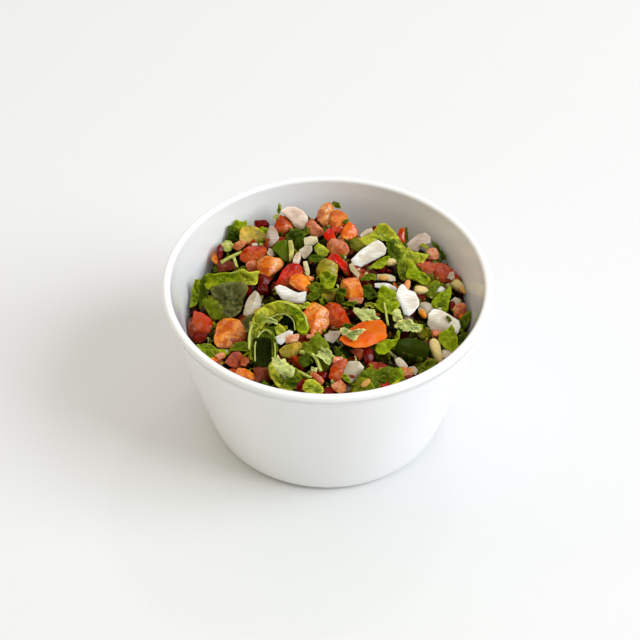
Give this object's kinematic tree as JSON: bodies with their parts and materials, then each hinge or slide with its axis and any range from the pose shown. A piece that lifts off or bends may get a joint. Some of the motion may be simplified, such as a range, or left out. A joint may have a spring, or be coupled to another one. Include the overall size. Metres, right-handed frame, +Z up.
{
  "type": "bowl of pico de gallo",
  "caption": "Round white flared bowl filled with a low heap of chopped tomato, onion, green pepper and fresh green herb leaves.",
  "frame": {"origin": "middle of the foot, on the plane the bowl stands on", "axes": "+Z up through the middle of the bowl, +X to the right and +Y away from the eye as pictured"},
  "size_m": [0.11, 0.11, 0.06],
  "materials": {
    "white_glaze": "smooth glossy white glaze over pottery",
    "chopped_salsa": "wet chopped vegetables: red and orange tomato, white onion, green leaves"
  },
  "bodies": {
    "root": {"bowl": "white_glaze", "pico_heap": "chopped_salsa"}
  },
  "joints": []
}
